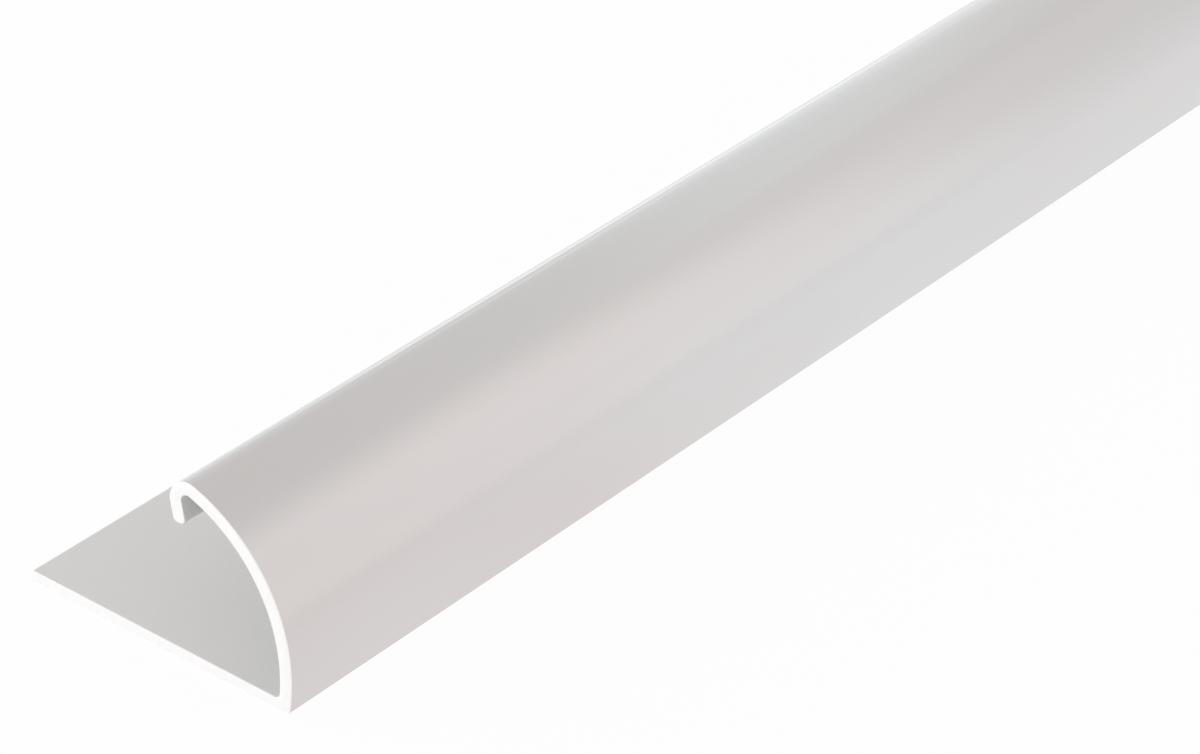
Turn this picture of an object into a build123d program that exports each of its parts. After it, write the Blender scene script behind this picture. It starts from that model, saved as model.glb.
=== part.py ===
from build123d import *
import math
import os

# Stop profile: one length of extruded aluminium edge trim, the same section from end to end.
# A flat leg lies on the ground and takes the floor or wall covering, and a quarter-round face
# rises from its front edge. The face ends at the top in a small rolled edge, and a short lip
# turns back down from there into the hollow under the face.
# All sizes are millimetres. The origin is on the underside of the leg, midway between its two
# long edges and at the middle of the length: +X points from the leg's free edge to the face,
# +Y runs along the length and +Z is up.

# Stock
LENGTH = 1000.0

# Leg
LEG_WIDTH = 24.0
LEG_THICKNESS = 0.85

# Quarter-round face: its outer radius is struck from a centre level with the underside, and the
# sweep is how far round it goes, in degrees, before the rolled edge takes over
FACE_RADIUS = 15.0
FACE_SWEEP = 74.0
FACE_WALL = 1.05

# Rolled top edge, and the lip that turns down from it: the lean is in degrees from upright, and
# the depth is how far the lip's tip hangs below the crest
ROLL_INNER_RADIUS = 0.5
LIP_LEAN = 21.0
LIP_DEPTH = 3.55

# Small radii that the die leaves on the corners of the section
TOE_RADIUS = 0.2
ROOT_RADIUS = 0.3
LIP_TIP_RADIUS = 0.4
LEG_EDGE_RADIUS = 0.2
LARGEST_SHARE_OF_WALL = 0.42


def point_at(centre, radius, angle):
    """The point at a radius and an angle in degrees from a centre, in the plane of the section."""
    turn = math.radians(angle)
    return centre + Vector(math.cos(turn), math.sin(turn)) * radius


def soft_edge(radius, wall):
    """An edge radius, kept small enough for the wall that it rounds."""
    return min(radius, LARGEST_SHARE_OF_WALL * wall)


def round_corner(face, corner, radius):
    """The section with the corner of its outline nearest to a point rounded."""
    nearest = min(face.vertices(), key=lambda vertex: (Vector(vertex) - corner).length)
    return fillet(nearest, radius)


def section():
    """The closed section, X across and Y up, with its origin under the middle of the leg."""
    toe = Vector(LEG_WIDTH / 2, 0)
    leg_edge = Vector(-LEG_WIDTH / 2, 0)
    leg_edge_top = leg_edge + Vector(0, LEG_THICKNESS)

    # The face starts upright at the toe, and its inside comes down on the leg at the root.
    face_centre = toe - Vector(FACE_RADIUS, 0)
    face_inner_radius = FACE_RADIUS - FACE_WALL
    root_angle = math.degrees(math.asin(LEG_THICKNESS / face_inner_radius))
    root = point_at(face_centre, face_inner_radius, root_angle)

    # The roll carries the same wall on round, and touches both sides of the face without a step.
    roll_radius = ROLL_INNER_RADIUS + FACE_WALL
    roll_centre = point_at(face_centre, FACE_RADIUS - roll_radius, FACE_SWEEP)
    roll_end = 180 + LIP_LEAN
    roll_sweep = roll_end - FACE_SWEEP

    # The lip runs straight on from the roll and is cut level at its tip.
    lip_top_outer = point_at(roll_centre, roll_radius, roll_end)
    lip_top_inner = point_at(roll_centre, ROLL_INNER_RADIUS, roll_end)
    tip_height = roll_centre.Y + roll_radius - LIP_DEPTH
    lip_slope = math.tan(math.radians(LIP_LEAN))
    tip_outer = Vector(lip_top_outer.X + (lip_top_outer.Y - tip_height) * lip_slope, tip_height)
    tip_inner = Vector(lip_top_inner.X + (lip_top_inner.Y - tip_height) * lip_slope, tip_height)

    outline = [
        Line(leg_edge, toe),
        CenterArc(face_centre, FACE_RADIUS, 0, FACE_SWEEP),
        CenterArc(roll_centre, roll_radius, FACE_SWEEP, roll_sweep),
        Line(lip_top_outer, tip_outer),
        Line(tip_outer, tip_inner),
        Line(tip_inner, lip_top_inner),
        CenterArc(roll_centre, ROLL_INNER_RADIUS, FACE_SWEEP, roll_sweep),
        CenterArc(face_centre, face_inner_radius, root_angle, FACE_SWEEP - root_angle),
        Line(root, leg_edge_top),
        Line(leg_edge_top, leg_edge),
    ]
    face = make_face(outline)

    face = round_corner(face, toe, soft_edge(TOE_RADIUS, LEG_THICKNESS))
    face = round_corner(face, root, ROOT_RADIUS)
    for tip_corner in (tip_outer, tip_inner):
        face = round_corner(face, tip_corner, soft_edge(LIP_TIP_RADIUS, FACE_WALL))
    for leg_corner in (leg_edge, leg_edge_top):
        face = round_corner(face, leg_corner, soft_edge(LEG_EDGE_RADIUS, LEG_THICKNESS))
    return face


def stop_profile():
    """The section stood upright and extruded both ways from the middle of the length."""
    return extrude(Plane.XZ * section(), LENGTH / 2, both=True)


os.makedirs("parts", exist_ok=True)
export_step(stop_profile(), "parts/stop_profile.step")
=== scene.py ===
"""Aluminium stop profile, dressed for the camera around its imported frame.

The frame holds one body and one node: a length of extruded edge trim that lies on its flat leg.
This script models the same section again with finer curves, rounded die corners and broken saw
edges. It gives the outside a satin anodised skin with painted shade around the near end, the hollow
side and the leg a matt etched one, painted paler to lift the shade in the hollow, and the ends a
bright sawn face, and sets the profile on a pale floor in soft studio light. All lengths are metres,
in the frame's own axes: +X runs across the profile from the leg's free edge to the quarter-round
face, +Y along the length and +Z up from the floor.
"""

from __future__ import annotations

import logging
import math
from collections.abc import Callable
from dataclasses import dataclass, field
from enum import Enum
from functools import cached_property
from typing import ClassVar

import bmesh
import bpy
from mathutils import Matrix, Vector

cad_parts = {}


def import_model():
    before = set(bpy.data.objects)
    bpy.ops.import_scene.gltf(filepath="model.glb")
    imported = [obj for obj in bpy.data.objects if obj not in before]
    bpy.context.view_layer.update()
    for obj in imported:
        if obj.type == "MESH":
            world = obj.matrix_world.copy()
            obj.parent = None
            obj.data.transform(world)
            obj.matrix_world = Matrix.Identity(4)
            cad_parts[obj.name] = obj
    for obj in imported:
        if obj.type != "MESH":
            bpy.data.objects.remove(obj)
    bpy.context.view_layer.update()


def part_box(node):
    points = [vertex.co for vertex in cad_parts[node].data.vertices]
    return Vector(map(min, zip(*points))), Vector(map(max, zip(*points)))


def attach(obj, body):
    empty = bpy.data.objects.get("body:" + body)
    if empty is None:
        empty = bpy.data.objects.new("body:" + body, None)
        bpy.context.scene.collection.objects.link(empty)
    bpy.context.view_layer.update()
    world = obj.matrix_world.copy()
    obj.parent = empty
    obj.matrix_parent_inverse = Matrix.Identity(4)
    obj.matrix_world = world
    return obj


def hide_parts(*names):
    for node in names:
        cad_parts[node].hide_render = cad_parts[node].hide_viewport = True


LOG = logging.getLogger("stop_profile")

Colour = tuple[float, float, float]
Socket = bpy.types.NodeSocket

MM = 0.001
# Places of the mesh that are nearer together than this are one and the same.
TOLERANCE = 0.002 * MM
# The shape of a bevel that makes it a circular round.
ROUND_PROFILE = 0.5
# From the toe at the near end to the point that the lamps face.
SUBJECT_FROM_TOE = Vector((-10.0, 60.0, 5.0)) * MM
WHITE: Colour = (1.0, 1.0, 1.0)

BODY = "root"
NODE = "stop_profile"


class Element(Enum):
    """What a selection in edit mode picks."""

    VERTEX = "VERT"
    EDGE = "EDGE"
    FACE = "FACE"


class Surface(Enum):
    """The surfaces of the profile, in the order of its material slots."""

    HOLLOW_SIDE = 0
    SHOW_SIDE = 1
    SAWN_END = 2


def deselect_everything() -> None:
    """Leaves no object selected, in object mode."""
    if bpy.context.mode != "OBJECT":
        bpy.ops.object.mode_set(mode="OBJECT")
    bpy.ops.object.select_all(action="DESELECT")


def make_active(piece: bpy.types.Object) -> None:
    """Selects one object alone and makes it the active one.

    Args:
        piece: The object that the next operators work on.
    """
    deselect_everything()
    piece.select_set(True)
    bpy.context.view_layer.objects.active = piece


def pick(piece: bpy.types.Object, element: Element, wanted: Callable[[object], bool]) -> int:
    """Selects elements of a mesh in edit mode by a test, and nothing else.

    Args:
        piece: The object whose mesh is in edit mode.
        element: Whether vertices, edges or faces are tested.
        wanted: Says whether a bmesh element is selected.

    Returns:
        How many elements are selected.
    """
    bpy.ops.mesh.select_mode(type=element.value)
    bpy.ops.mesh.select_all(action="DESELECT")
    shape = bmesh.from_edit_mesh(piece.data)
    elements = {Element.VERTEX: shape.verts, Element.EDGE: shape.edges, Element.FACE: shape.faces}[element]
    count = 0
    for item in elements:
        if wanted(item):
            item.select_set(True)
            count += 1
    shape.select_flush_mode()
    bmesh.update_edit_mesh(piece.data)
    return count


@dataclass(frozen=True)
class Section:
    """The profile's section, with X across and Z up, and its origin under the middle of the leg."""

    leg_width: float
    leg_thickness: float = 0.85 * MM
    face_radius: float = 15.0 * MM
    face_sweep: float = math.radians(74.0)
    face_wall: float = 1.05 * MM
    roll_inner_radius: float = 0.5 * MM
    lip_lean: float = math.radians(21.0)
    lip_depth: float = 3.55 * MM
    toe_radius: float = 0.2 * MM
    root_radius: float = 0.3 * MM
    lip_tip_radius: float = 0.4 * MM
    leg_edge_radius: float = 0.2 * MM

    @property
    def toe(self) -> Vector:
        """The corner under the foot of the quarter-round face."""
        return Vector((self.leg_width / 2, 0.0, 0.0))

    @property
    def face_centre(self) -> Vector:
        """The centre that both sides of the quarter-round face are struck from."""
        return self.toe - Vector((self.face_radius, 0.0, 0.0))

    @property
    def face_inner_radius(self) -> float:
        """The radius of the hollow side of the face."""
        return self.face_radius - self.face_wall

    @property
    def inner_foot(self) -> float:
        """How far across the hollow side of the face would come down to the floor."""
        return self.face_centre.x + self.face_inner_radius

    @property
    def root_angle(self) -> float:
        """How far round the hollow side meets the top of the leg."""
        return math.asin(self.leg_thickness / self.face_inner_radius)

    @property
    def root(self) -> Vector:
        """The corner where the hollow side of the face meets the top of the leg."""
        return self.round(self.face_centre, self.face_inner_radius, self.root_angle)

    @property
    def roll_radius(self) -> float:
        """The outer radius of the rolled top edge."""
        return self.roll_inner_radius + self.face_wall

    @property
    def roll_centre(self) -> Vector:
        """The centre of the rolled top edge."""
        return self.round(self.face_centre, self.face_radius - self.roll_radius, self.face_sweep)

    @property
    def roll_end(self) -> float:
        """The angle at which the rolled edge runs out into the straight lip."""
        return math.pi + self.lip_lean

    @property
    def roll_sweep(self) -> float:
        """How far the rolled edge turns before the lip runs straight."""
        return self.roll_end - self.face_sweep

    @property
    def lip_direction(self) -> Vector:
        """The way down the lip."""
        return Vector((math.sin(self.lip_lean), 0.0, -math.cos(self.lip_lean)))

    @property
    def tip_height(self) -> float:
        """The height of the lip's level tip."""
        return self.roll_centre.z + self.roll_radius - self.lip_depth

    def lip_top(self, radius: float) -> Vector:
        """The point where the side of the lip that has this radius in the roll runs straight on."""
        return self.round(self.roll_centre, radius, self.roll_end)

    def lip_length(self, radius: float) -> float:
        """The straight length of the side of the lip that has this radius in the roll."""
        return (self.lip_top(radius).z - self.tip_height) / math.cos(self.lip_lean)

    def lip_tip(self, radius: float) -> Vector:
        """The corner at the level tip, on the side of the lip that has this radius in the roll."""
        return self.lip_top(radius) + self.lip_direction * self.lip_length(radius)

    def on_show_side(self, place: Vector) -> bool:
        """Whether a place of the skin is on the outside of the face, the roll or the lip.

        Args:
            place: The place, on the skin.

        Returns:
            False for the hollow side, the leg and the underside.
        """
        from_face = place - self.face_centre
        from_face.y = 0.0
        if math.atan2(from_face.z, from_face.x) < self.face_sweep:
            return from_face.length > self.face_radius - self.face_wall / 2
        from_roll = place - self.roll_centre
        from_roll.y = 0.0
        if from_roll.dot(self.lip_direction) > 0.0:
            outward = Vector((-math.cos(self.lip_lean), 0.0, -math.sin(self.lip_lean)))
            across = from_roll.dot(outward)
            return place.z > self.tip_height and across > self.roll_radius - self.face_wall / 2
        return from_roll.length > self.roll_radius - self.face_wall / 2

    @staticmethod
    def round(centre: Vector, radius: float, angle: float) -> Vector:
        """The point of the section at a radius and an angle from +X about a centre."""
        return centre + Vector((math.cos(angle), 0.0, math.sin(angle))) * radius


@dataclass(frozen=True)
class Corner:
    """A long corner of the section that the die leaves rounded."""

    name: str
    place: Vector
    opening: float
    radius: float

    @property
    def setback(self) -> float:
        """How far from the corner the round touches each side."""
        return self.radius / math.tan(self.opening / 2)


@dataclass
class StopProfile:
    """The one piece: an extruded length with a flat leg, a quarter-round face, a roll and a lip.

    The first facet of the face is a longer one, so that the rounds of the toe and the root lie on
    flat sides. A reach is how far an edge may lie from the place where it is looked for. A lean is
    how much of a face's normal points along the length: the flat ends have more than end_lean, and
    the broken saw edges that belong to them more than saw_break_lean.
    """

    section: Section
    near_end: float
    far_end: float
    name: str = "profile"
    face_step: float = math.radians(1.0)
    first_step: float = math.radians(2.0)
    roll_step: float = math.radians(3.0)
    corner_segments: int = 6
    saw_break: float = 0.09 * MM
    saw_break_segments: int = 2
    foot_reach: float = 0.1 * MM
    wall_edge_reach: float = 0.02 * MM
    end_lean: float = 0.9
    saw_break_lean: float = 0.2
    smooth_angle: float = math.radians(32.0)
    piece: bpy.types.Object | None = field(default=None, init=False)

    def build(self) -> bpy.types.Object:
        """Models the profile as one closed mesh.

        Returns:
            The finished object, at the origin, unturned and unscaled.
        """
        self._lay_leg()
        bpy.ops.object.mode_set(mode="EDIT")
        self._turn_up_toe()
        self._sweep_face()
        self._sweep_roll()
        self._draw_lip()
        self._draw_out_length()
        self._round_corners()
        self._break_saw_edges()
        self._part_surfaces()
        bpy.ops.object.mode_set(mode="OBJECT")
        self._shade()
        return self.piece

    def _lay_leg(self) -> None:
        """Starts the section at the near end with a plane the size of the leg."""
        inner_foot = self.section.inner_foot
        free_edge = -self.section.leg_width / 2
        middle = Vector(((inner_foot + free_edge) / 2, self.near_end, self.section.leg_thickness / 2))
        bpy.ops.mesh.primitive_plane_add(size=1.0, location=middle, rotation=(math.pi / 2, 0.0, 0.0))
        self.piece = bpy.context.object
        self.piece.name = self.name
        self.piece.scale = (inner_foot - free_edge, self.section.leg_thickness, 1.0)
        bpy.ops.object.transform_apply(location=True, rotation=True, scale=True)

    def _turn_up_toe(self) -> None:
        """Carries the leg on to the toe, where the wall of the face stands up from it."""
        section = self.section
        outer = section.round(section.face_centre, section.face_radius, section.root_angle)
        inner_top = Vector((section.inner_foot, self.near_end, section.leg_thickness))
        self._move_vertex(inner_top, Vector((section.root.x - section.inner_foot, 0.0, 0.0)))
        pick(self.piece, Element.EDGE, self._stands_at_foot)
        out = Vector((section.face_wall, 0.0, 0.0))
        self._extrude(out)
        new_top = Vector((section.root.x + out.x, self.near_end, section.leg_thickness))
        self._move_vertex(new_top, Vector((outer.x - new_top.x, 0.0, outer.z - new_top.z)))

    def _sweep_face(self) -> None:
        """Spins the wall round to the top of the quarter-round face."""
        section = self.section
        middle_radius = section.face_radius - section.face_wall / 2
        middle = section.round(section.face_centre, middle_radius, section.root_angle)
        self._pick_wall_edge(middle)
        self._spin(section.face_centre, self.first_step, 1)
        rest = section.face_sweep - section.root_angle - self.first_step
        self._spin(section.face_centre, rest, round(rest / self.face_step))

    def _sweep_roll(self) -> None:
        """Spins the same wall on round the rolled top edge."""
        sweep = self.section.roll_sweep
        self._spin(self.section.roll_centre, sweep, round(sweep / self.roll_step))

    def _draw_lip(self) -> None:
        """Draws the lip straight down to its level tip."""
        section = self.section
        outer_length = section.lip_length(section.roll_radius)
        inner_length = section.lip_length(section.roll_inner_radius)
        down = section.lip_direction
        self._extrude(down * outer_length)
        inner_tip = section.lip_top(section.roll_inner_radius) + down * outer_length
        inner_tip.y = self.near_end
        self._move_vertex(inner_tip, down * (inner_length - outer_length))

    def _draw_out_length(self) -> None:
        """Extrudes the whole section to the far end."""
        bpy.ops.mesh.select_all(action="SELECT")
        self._extrude(Vector((0.0, self.far_end - self.near_end, 0.0)))
        bpy.ops.mesh.select_all(action="SELECT")
        bpy.ops.mesh.normals_make_consistent(inside=False)

    def _corners(self) -> list[Corner]:
        """Lists the long corners that are rounded.

        Returns:
            The corners, each with the angle between its two sides.
        """
        section = self.section
        square = math.pi / 2
        toe_opening = square + section.root_angle / 2
        root_opening = square - section.root_angle - self.first_step / 2
        outer_tip = section.lip_tip(section.roll_radius)
        inner_tip = section.lip_tip(section.roll_inner_radius)
        free_edge = Vector((-section.leg_width / 2, 0.0, 0.0))
        free_top = free_edge + Vector((0.0, 0.0, section.leg_thickness))
        return [
            Corner("toe", section.toe, toe_opening, section.toe_radius),
            Corner("root", section.root, root_opening, section.root_radius),
            Corner("lip tip, outside", outer_tip, square + section.lip_lean, section.lip_tip_radius),
            Corner("lip tip, inside", inner_tip, square - section.lip_lean, section.lip_tip_radius),
            Corner("leg edge, underside", free_edge, square, section.leg_edge_radius),
            Corner("leg edge, top", free_top, square, section.leg_edge_radius),
        ]

    def _round_corners(self) -> None:
        """Rounds each long corner of the section to its own radius."""
        for corner in self._corners():
            count = pick(self.piece, Element.EDGE, lambda edge: self._runs_along(edge, corner.place))
            LOG.info("corner %s: %d edge, radius %.2f mm", corner.name, count, corner.radius / MM)
            self._bevel(corner.setback, self.corner_segments)

    def _break_saw_edges(self) -> None:
        """Takes the sharpness off the rim of each sawn end."""
        pick(self.piece, Element.EDGE, self._is_saw_rim)
        self._bevel(self.saw_break, self.saw_break_segments)

    def _part_surfaces(self) -> None:
        """Gives the show side and the sawn ends their own material slots."""
        for _ in Surface:
            bpy.ops.object.material_slot_add()
        tests = {
            Surface.SHOW_SIDE: lambda face: self.section.on_show_side(face.calc_center_median()),
            Surface.SAWN_END: lambda face: abs(face.normal.y) > self.saw_break_lean,
        }
        for surface, wanted in tests.items():
            count = pick(self.piece, Element.FACE, wanted)
            self.piece.active_material_index = surface.value
            bpy.ops.object.material_slot_assign()
            LOG.info("surface %s: %d faces", surface.name.lower(), count)

    def _shade(self) -> None:
        """Smooths the curves and keeps the flat faces flat up to their edges."""
        make_active(self.piece)
        bpy.ops.object.shade_smooth_by_angle(angle=self.smooth_angle)
        flat = self.piece.modifiers.new("flat faces stay flat", "WEIGHTED_NORMAL")
        flat.keep_sharp = True
        bpy.ops.object.modifier_apply(modifier=flat.name)

    def _spin(self, centre: Vector, angle: float, steps: int) -> None:
        """Spins the selected wall edge about a centre of the section, from +X towards +Z, in facets."""
        place = Vector((centre.x, self.near_end, centre.z))
        bpy.ops.mesh.spin(steps=steps, angle=angle, center=place, axis=(0.0, 1.0, 0.0))

    @staticmethod
    def _extrude(shift: Vector) -> None:
        """Extrudes what is selected by a shift, and leaves the new end selected."""
        bpy.ops.mesh.extrude_region_move(TRANSFORM_OT_translate={"value": shift})

    @staticmethod
    def _bevel(setback: float, segments: int) -> None:
        """Rounds the selected edges.

        Args:
            setback: How far from the edge the round touches each side.
            segments: How many facets the round has.
        """
        bpy.ops.mesh.bevel(
            offset_type="OFFSET",
            offset=setback,
            segments=segments,
            profile=ROUND_PROFILE,
            affect="EDGES",
            clamp_overlap=False,
        )

    def _pick_wall_edge(self, middle: Vector) -> None:
        """Selects one of the edges that run across the wall.

        Args:
            middle: Where the middle of that edge lies in the section.
        """

        def crosses_there(edge: bmesh.types.BMEdge) -> bool:
            """Whether an edge has its middle there."""
            centre = (edge.verts[0].co + edge.verts[1].co) / 2
            return math.hypot(centre.x - middle.x, centre.z - middle.z) < self.wall_edge_reach

        pick(self.piece, Element.EDGE, crosses_there)

    def _move_vertex(self, place: Vector, shift: Vector) -> None:
        """Moves the one vertex at a place by a shift."""
        pick(self.piece, Element.VERTEX, lambda vertex: (vertex.co - place).length < TOLERANCE)
        bpy.ops.transform.translate(value=shift)

    def _runs_along(self, edge: bmesh.types.BMEdge, place: Vector) -> bool:
        """Whether an edge runs the whole length at a place of the section.

        Args:
            edge: The edge.
            place: The place in the section.

        Returns:
            True for the long edge at that place.
        """
        start, end = (vertex.co for vertex in edge.verts)
        if abs(start.y - end.y) < self.far_end - self.near_end - TOLERANCE:
            return False
        return math.hypot(start.x - place.x, start.z - place.z) < TOLERANCE

    def _stands_at_foot(self, edge: bmesh.types.BMEdge) -> bool:
        """Whether an edge stands where the wall of the face rises from the leg."""
        foot = self.section.inner_foot
        return all(abs(vertex.co.x - foot) < self.foot_reach for vertex in edge.verts)

    def _is_saw_rim(self, edge: bmesh.types.BMEdge) -> bool:
        """Whether an edge lies between a sawn end and the skin.

        Args:
            edge: The edge.

        Returns:
            True for an edge with the flat end on one side alone.
        """
        if len(edge.link_faces) != 2:
            return False
        faces_end = [abs(face.normal.y) > self.end_lean for face in edge.link_faces]
        return faces_end[0] != faces_end[1]

    def dress(self, show: Anodised, hollow: Anodised, sawn: FreshSawn) -> None:
        """Gives each surface its finish.

        Args:
            show: The finish of the outside of the face, the roll and the lip.
            hollow: The finish of the hollow side, the leg and the underside.
            sawn: The finish of the two cut ends.
        """
        finishes = {Surface.SHOW_SIDE: show, Surface.HOLLOW_SIDE: hollow, Surface.SAWN_END: sawn}
        for surface, finish in finishes.items():
            self.piece.material_slots[surface.value].material = finish.material()


class Graph:
    """A material's node tree, with short calls for the nodes that the finishes share.

    The useful part of a noise lies between NOISE_LOW and NOISE_HIGH. A nearness, which rises to 1 at
    its centre, is taken for full from FULLY_NEAR on.
    """

    NOISE_LOW: ClassVar[float] = 0.3
    NOISE_HIGH: ClassVar[float] = 0.7
    FULLY_NEAR: ClassVar[float] = 0.45

    def __init__(self, name: str) -> None:
        """Starts a new material.

        Args:
            name: The material's name.
        """
        self.material = bpy.data.materials.new(name)
        self.material.use_nodes = True
        self.tree = self.material.node_tree
        self.shader = self.tree.nodes["Principled BSDF"]

    @cached_property
    def place(self) -> Socket:
        """The place on the object, whose node is made when a finish first asks for it."""
        return self.tree.nodes.new("ShaderNodeTexCoord").outputs["Object"]

    def stretched(self, scale: tuple[float, float, float], start: Socket) -> Socket:
        """A place, scaled along each axis.

        Args:
            scale: The scale along X, Y and Z.
            start: The place that is scaled.

        Returns:
            The scaled place.
        """
        mapping = self.tree.nodes.new("ShaderNodeMapping")
        mapping.inputs["Scale"].default_value = scale
        self.tree.links.new(start, mapping.inputs["Vector"])
        return mapping.outputs["Vector"]

    def noise(self, place: Socket, width: float, detail: float) -> Socket:
        """A noise value between about 0 and 1.

        Args:
            place: Where it is read.
            width: How wide its lumps are.
            detail: How many finer layers it has.

        Returns:
            The value.
        """
        texture = self.tree.nodes.new("ShaderNodeTexNoise")
        texture.inputs["Scale"].default_value = 1 / width
        texture.inputs["Detail"].default_value = detail
        self.tree.links.new(place, texture.inputs["Vector"])
        return texture.outputs["Fac"]

    def ranged(self, value: Socket, low: float, high: float) -> Socket:
        """A noise value spread over a range.

        Args:
            value: The noise value.
            low: The result at the low end.
            high: The result at the high end.

        Returns:
            The spread value.
        """
        spread = self.tree.nodes.new("ShaderNodeMapRange")
        spread.inputs["From Min"].default_value = self.NOISE_LOW
        spread.inputs["From Max"].default_value = self.NOISE_HIGH
        spread.inputs["To Min"].default_value = low
        spread.inputs["To Max"].default_value = high
        self.tree.links.new(value, spread.inputs["Value"])
        return spread.outputs["Result"]

    def nearness(self, centre: tuple[float, float, float], scale: tuple[float, float, float]) -> Socket:
        """How near a place is to a centre, eased from 0 outside the reach to 1 well inside it.

        Args:
            centre: The centre.
            scale: One over the reach along each axis, and 0 for an axis that doesn't count.

        Returns:
            The nearness.
        """
        mapping = self.tree.nodes.new("ShaderNodeMapping")
        mapping.inputs["Location"].default_value = [-c * s for c, s in zip(centre, scale)]
        mapping.inputs["Scale"].default_value = scale
        self.tree.links.new(self.place, mapping.inputs["Vector"])
        ball = self.tree.nodes.new("ShaderNodeTexGradient")
        ball.gradient_type = "QUADRATIC_SPHERE"
        self.tree.links.new(mapping.outputs["Vector"], ball.inputs["Vector"])
        ease = self.tree.nodes.new("ShaderNodeMapRange")
        ease.interpolation_type = "SMOOTHSTEP"
        ease.inputs["From Max"].default_value = self.FULLY_NEAR
        self.tree.links.new(ball.outputs["Fac"], ease.inputs["Value"])
        return ease.outputs["Result"]

    def added(self, value: Socket, other: Socket) -> Socket:
        """The sum of two values, kept between 0 and 1.

        Args:
            value: The first value.
            other: The second value.

        Returns:
            The sum.
        """
        total = self.tree.nodes.new("ShaderNodeMath")
        total.operation = "ADD"
        total.use_clamp = True
        self.tree.links.new(value, total.inputs[0])
        self.tree.links.new(other, total.inputs[1])
        return total.outputs["Value"]

    def blended(self, value: Socket, low: Colour, high: Colour) -> Socket:
        """A colour between two others.

        Args:
            value: 0 for the first colour and 1 for the second.
            low: The first colour.
            high: The second colour.

        Returns:
            The colour.
        """
        mix = self.tree.nodes.new("ShaderNodeMix")
        mix.data_type = "RGBA"
        mix.inputs["A"].default_value = (*low, 1.0)
        mix.inputs["B"].default_value = (*high, 1.0)
        self.tree.links.new(value, mix.inputs["Factor"])
        return mix.outputs["Result"]

    def bump(self, height: Socket, depth: float, under: Socket | None = None) -> Socket:
        """A bumped normal.

        Args:
            height: The relief, from 0 to 1.
            depth: The height in metres that 1 stands for.
            under: A bumped normal that this one adds to.

        Returns:
            The normal.
        """
        relief = self.tree.nodes.new("ShaderNodeBump")
        relief.inputs["Strength"].default_value = 1.0
        relief.inputs["Distance"].default_value = depth
        self.tree.links.new(height, relief.inputs["Height"])
        if under is not None:
            self.tree.links.new(under, relief.inputs["Normal"])
        return relief.outputs["Normal"]

    def feed(self, socket: str, value: Socket) -> None:
        """Links a value to one of the shader's sockets by name."""
        self.tree.links.new(value, self.shader.inputs[socket])


@dataclass(frozen=True)
class NearEndPaintedShade:
    """Painted shade around one end of a skin: darker and warmer, standing in for dimmer light there.

    Soft clouds make the border between the painted shade and the skin's own colour uneven.
    """

    end: float
    # colour of the painted shade, darker and warmer than the skin
    colour: Colour = (0.660, 0.620, 0.612)
    reach: float = 105 * MM
    height: float = 19 * MM
    cloud_width: float = 30 * MM
    cloud_length: float = 100 * MM
    cloud_share: float = 0.25

    def over(self, graph: Graph, skin: Colour) -> Socket:
        """Paints shade over the skin's own colour around the end.

        Args:
            graph: The material of the skin.
            skin: The skin's own colour.

        Returns:
            The colour with the painted shade.
        """
        run = self.cloud_width / self.cloud_length
        along = graph.stretched((1.0, run, 1.0), graph.place)
        clouds = graph.noise(along, width=self.cloud_width, detail=2.0)
        near = graph.nearness((0.0, self.end, 0.0), (0.0, 1 / self.reach, 1 / self.height))
        painted_shade_share = graph.added(near, graph.ranged(clouds, -self.cloud_share, self.cloud_share))
        return graph.blended(painted_shade_share, skin, self.colour)


@dataclass(frozen=True)
class Anodised:
    """Extruded aluminium, etched and clear anodised: an even satin with faint die lines."""

    name: str = "satin anodised aluminium"
    colour: Colour = (0.702, 0.703, 0.705)
    # painted shade, darker and warmer around one end
    painted_shade: NearEndPaintedShade | None = None
    metal_share: float = 1.0
    roughness: float = 0.23
    roughness_swing: float = 0.012
    die_line_width: float = 0.60 * MM
    die_line_length: float = 600 * MM
    die_line_depth: float = 0.0009 * MM
    grain_width: float = 0.12 * MM
    grain_depth: float = 0.0010 * MM

    def material(self) -> bpy.types.Material:
        """Builds the material.

        Returns:
            A procedural material on object coordinates.
        """
        graph = Graph(self.name)
        graph.shader.inputs["Metallic"].default_value = self.metal_share
        graph.shader.inputs["Base Color"].default_value = (*self.colour, 1.0)
        # painted shade darkens and warms the colour around one end
        if self.painted_shade is not None:
            graph.feed("Base Color", self.painted_shade.over(graph, self.colour))
        run = self.die_line_width / self.die_line_length
        along = graph.stretched((1.0, run, 1.0), graph.place)
        lines = graph.noise(along, width=self.die_line_width, detail=1.0)
        grain = graph.noise(graph.place, width=self.grain_width, detail=2.0)
        low = self.roughness - self.roughness_swing
        high = self.roughness + self.roughness_swing
        graph.feed("Roughness", graph.ranged(lines, low, high))
        grained = graph.bump(grain, self.grain_depth)
        graph.feed("Normal", graph.bump(lines, self.die_line_depth, grained))
        return graph.material


@dataclass(frozen=True)
class FreshSawn:
    """Bare aluminium as a fine saw leaves it: bright, with close straight marks."""

    name: str = "fresh sawn aluminium"
    pale: Colour = (0.990, 0.990, 0.990)
    deep: Colour = (0.960, 0.960, 0.965)
    metal_share: float = 0.50
    roughness: float = 0.42
    mark_width: float = 0.11 * MM
    mark_length: float = 6 * MM
    mark_depth: float = 0.004 * MM

    def material(self) -> bpy.types.Material:
        """Builds the material.

        Returns:
            A procedural material on object coordinates.
        """
        graph = Graph(self.name)
        graph.shader.inputs["Metallic"].default_value = self.metal_share
        graph.shader.inputs["Roughness"].default_value = self.roughness
        run = self.mark_width / self.mark_length
        along_marks = graph.stretched((1.0, 1.0, run), graph.place)
        marks = graph.noise(along_marks, width=self.mark_width, detail=2.0)
        graph.feed("Base Color", graph.blended(graph.ranged(marks, 0.0, 1.0), self.deep, self.pale))
        graph.feed("Normal", graph.bump(marks, self.mark_depth))
        return graph.material


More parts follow.
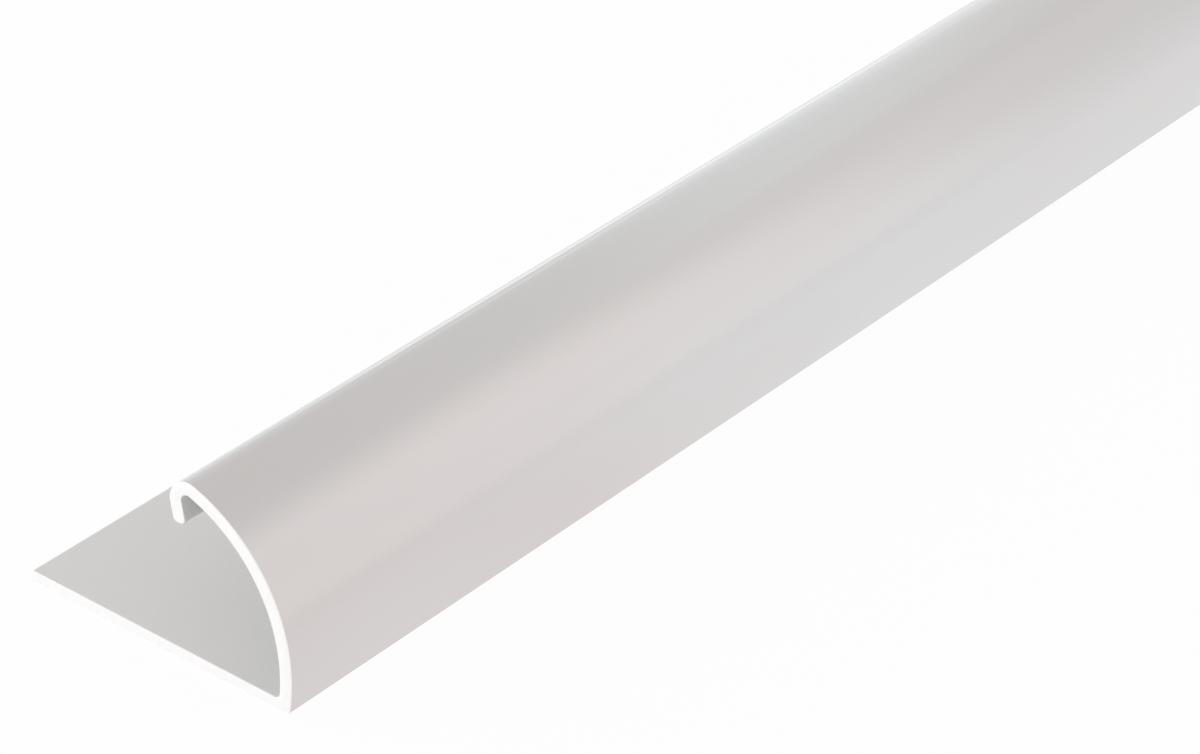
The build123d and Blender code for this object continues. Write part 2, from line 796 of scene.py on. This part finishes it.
@dataclass(frozen=True)
class SoftBox:
    """A rectangular studio lamp that faces the subject.

    It hangs about the subject, at an azimuth that turns from +Y towards +X and an elevation, both in
    degrees. Its brightness is how its panel looks in a mirror, with 1 for white.
    """

    name: str
    azimuth: float
    elevation: float
    distance: float
    width: float
    height: float
    brightness: float
    colour: Colour = WHITE

    def hang(self, subject: Vector) -> None:
        """Adds the lamp.

        Args:
            subject: The point that the lamp faces.
        """
        azimuth = math.radians(self.azimuth)
        elevation = math.radians(self.elevation)
        level = math.cos(elevation)
        away = Vector((math.sin(azimuth) * level, math.cos(azimuth) * level, math.sin(elevation)))
        lamp = bpy.data.lights.new(self.name, "AREA")
        lamp.shape = "RECTANGLE"
        lamp.size = self.width
        lamp.size_y = self.height
        lamp.energy = math.pi * self.width * self.height * self.brightness
        lamp.color = self.colour
        holder = bpy.data.objects.new(self.name, lamp)
        holder.location = subject + away * self.distance
        holder.rotation_euler = away.to_track_quat("Z", "Y").to_euler()
        bpy.context.scene.collection.objects.link(holder)


@dataclass
class Studio:
    """A pale floor under a surround that is pale at the horizon, and greyer and warmer overhead.

    Of full white, the floor scatters the share floor_white of the light that falls on it. It shows
    floor_seen_white to the camera and floor_mirrored_white to the metal, with its shadows mixed in.
    """

    subject: Vector
    floor_size: float = 6.0
    floor_drop: float = 0.02 * MM
    floor_white: float = 0.92
    floor_seen_white: float = 0.95
    floor_mirrored_white: float = 0.96
    horizon: Colour = (0.940, 0.935, 0.938)
    overhead: Colour = (0.700, 0.655, 0.637)
    lamps: list[SoftBox] = field(default_factory=list)

    def build(self) -> None:
        """Lays the floor, lights the surround and hangs the lamps."""
        self._lay_floor()
        self._light_surround()
        for lamp in self.lamps:
            lamp.hang(self.subject)
            LOG.info("lamp %s: %.2f of white", lamp.name, lamp.brightness)

    def _lay_floor(self) -> None:
        """A pale floor that the camera and the metal see as white where no shadow falls."""
        deselect_everything()
        place = (self.subject.x, self.subject.y, -self.floor_drop)
        bpy.ops.mesh.primitive_plane_add(size=self.floor_size, location=place)
        floor = bpy.context.object
        floor.name = "floor"
        bpy.ops.object.transform_apply(location=True, rotation=True, scale=True)
        graph = Graph("pale floor")
        white = self.floor_white
        graph.shader.inputs["Base Color"].default_value = (white, white, white, 1.0)
        graph.shader.inputs["Roughness"].default_value = 1.0
        graph.shader.inputs["Specular IOR Level"].default_value = 0.0
        tree = graph.tree
        path = tree.nodes.new("ShaderNodeLightPath")
        seen = self._share(tree, path.outputs["Is Camera Ray"], self.floor_seen_white, None)
        seen = self._share(tree, path.outputs["Is Glossy Ray"], self.floor_mirrored_white, seen)
        seen = self._share(tree, path.outputs["Is Transmission Ray"], self.floor_mirrored_white, seen)
        glow = tree.nodes.new("ShaderNodeEmission")
        mix = tree.nodes.new("ShaderNodeMixShader")
        tree.links.new(seen, mix.inputs["Fac"])
        tree.links.new(graph.shader.outputs["BSDF"], mix.inputs[1])
        tree.links.new(glow.outputs["Emission"], mix.inputs[2])
        tree.links.new(mix.outputs["Shader"], tree.nodes["Material Output"].inputs["Surface"])
        floor.data.materials.append(graph.material)

    @staticmethod
    def _share(tree: bpy.types.NodeTree, ray: Socket, white: float, other: Socket | None) -> Socket:
        """How much of the floor's own white one kind of ray sees.

        Args:
            tree: The floor's node tree.
            ray: 1 for a ray of that kind and 0 for any other.
            white: The share that such a ray sees.
            other: The share that other kinds of ray see, which this one is added to.

        Returns:
            The share.
        """
        node = tree.nodes.new("ShaderNodeMath")
        node.operation = "MULTIPLY_ADD"
        node.inputs[1].default_value = white
        node.inputs[2].default_value = 0.0
        tree.links.new(ray, node.inputs[0])
        if other is not None:
            tree.links.new(other, node.inputs[2])
        return node.outputs["Value"]

    def _light_surround(self) -> None:
        """A surround that greys from the horizon to overhead, and that the camera sees as white."""
        world = bpy.data.worlds.new("studio surround")
        world.use_nodes = True
        tree = world.node_tree
        light = tree.nodes["Background"]
        heading = tree.nodes.new("ShaderNodeTexCoord")
        parts = tree.nodes.new("ShaderNodeSeparateXYZ")
        tree.links.new(heading.outputs["Generated"], parts.inputs["Vector"])
        rise = tree.nodes.new("ShaderNodeMix")
        rise.data_type = "RGBA"
        rise.inputs["A"].default_value = (*self.horizon, 1.0)
        rise.inputs["B"].default_value = (*self.overhead, 1.0)
        tree.links.new(parts.outputs["Z"], rise.inputs["Factor"])
        tree.links.new(rise.outputs["Result"], light.inputs["Color"])
        seen = tree.nodes.new("ShaderNodeBackground")
        seen.inputs["Color"].default_value = (*WHITE, 1.0)
        path = tree.nodes.new("ShaderNodeLightPath")
        mix = tree.nodes.new("ShaderNodeMixShader")
        tree.links.new(path.outputs["Is Camera Ray"], mix.inputs["Fac"])
        tree.links.new(light.outputs["Background"], mix.inputs[1])
        tree.links.new(seen.outputs["Background"], mix.inputs[2])
        tree.links.new(mix.outputs["Shader"], tree.nodes["World Output"].inputs["Surface"])
        bpy.context.scene.world = world


@dataclass(frozen=True)
class ProductCamera:
    """The long lens that looks down on the near end, fitted to the photograph's lines.

    The eye's place is given from the toe at the near end, in widths of the leg.
    """

    near_toe: Vector
    leg_width: float
    eye: tuple[float, float, float] = (7.889, -12.769, 10.177)
    heading: float = math.radians(28.865)
    pitch: float = math.radians(-30.483)
    roll: float = math.radians(10.034)
    lens: float = 180.0
    sensor: float = 36.0
    clip_start: float = 0.01
    clip_end: float = 20.0

    def set_up(self) -> None:
        """Adds the camera and makes it the scene's own."""
        camera = bpy.data.cameras.new("product camera")
        camera.lens = self.lens
        camera.sensor_width = self.sensor
        camera.clip_start = self.clip_start
        camera.clip_end = self.clip_end
        holder = bpy.data.objects.new("product camera", camera)
        moved = Matrix.Translation(self.near_toe + Vector(self.eye) * self.leg_width)
        turned = Matrix.Rotation(self.heading, 4, "Z")
        tipped = Matrix.Rotation(math.pi / 2 + self.pitch, 4, "X")
        rolled = Matrix.Rotation(self.roll, 4, "Z")
        holder.matrix_world = moved @ turned @ tipped @ rolled
        bpy.context.scene.collection.objects.link(holder)
        bpy.context.scene.camera = holder


def studio_lamps() -> list[SoftBox]:
    """The soft boxes around the near end, tinted as the photographed metal reflects them.

    Returns:
        The lamps, in the order in which they are hung.
    """
    return [
        SoftBox(
            name="low back left",
            azimuth=-20.7,
            elevation=19.3,
            distance=0.334,
            width=0.161,
            height=0.192,
            brightness=0.24,
            colour=(0.85, 1.0, 1.0),
        ),
        SoftBox(
            name="far left",
            azimuth=-66.0,
            elevation=14.7,
            distance=0.930,
            width=0.428,
            height=0.470,
            brightness=0.80,
            colour=(0.95, 1.0, 1.0),
        ),
        SoftBox(
            name="back",
            azimuth=-2.3,
            elevation=37.1,
            distance=0.466,
            width=0.232,
            height=0.063,
            brightness=0.20,
            colour=(0.72, 0.98, 1.0),
        ),
        SoftBox(
            name="right",
            azimuth=51.0,
            elevation=26.0,
            distance=0.250,
            width=0.180,
            height=0.190,
            brightness=0.13,
            colour=(1.0, 0.88, 0.84),
        ),
        SoftBox(
            name="right high",
            azimuth=30.0,
            elevation=31.0,
            distance=0.230,
            width=0.110,
            height=0.080,
            brightness=0.06,
            colour=(1.0, 0.90, 0.86),
        ),
        SoftBox(
            name="low left",
            azimuth=-40.5,
            elevation=8.0,
            distance=0.283,
            width=0.080,
            height=0.062,
            brightness=0.38,
            colour=(0.92, 1.0, 1.0),
        ),
        SoftBox(
            name="left fill",
            azimuth=232.0,
            elevation=15.0,
            distance=0.900,
            width=0.800,
            height=0.400,
            brightness=2.80,
        ),
    ]


def main() -> None:
    """Loads the frame, builds and dresses the profile, and sets up the studio and the camera."""
    logging.basicConfig(level=logging.INFO, format="%(name)s: %(message)s")
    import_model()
    low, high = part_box(NODE)
    deselect_everything()

    section = Section(leg_width=-2 * low.x)
    profile = StopProfile(section=section, near_end=low.y, far_end=high.y)
    piece = profile.build()
    # the show side gets painted shade, darker and warmer around the near end
    satin = Anodised(painted_shade=NearEndPaintedShade(end=low.y))
    # matt etched finish for the hollow side and leg; its colour is painted paler than the outside's to
    # lift the shade in the hollow
    matt_painted_paler = Anodised(
        name="matt etched aluminium, painted paler",
        colour=(0.731, 0.738, 0.730),
        metal_share=0.15,
        roughness=0.40,
    )
    profile.dress(show=satin, hollow=matt_painted_paler, sawn=FreshSawn())
    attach(piece, BODY)
    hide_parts(NODE)
    LOG.info("piece %s: %d faces, crest at %.3f mm", piece.name, len(piece.data.polygons), high.z / MM)

    near_toe = Vector((section.toe.x, low.y, 0.0))
    Studio(subject=near_toe + SUBJECT_FROM_TOE, lamps=studio_lamps()).build()
    ProductCamera(near_toe=near_toe, leg_width=section.leg_width).set_up()
    bpy.context.scene.view_settings.view_transform = "Standard"


if __name__ == "__main__":
    main()
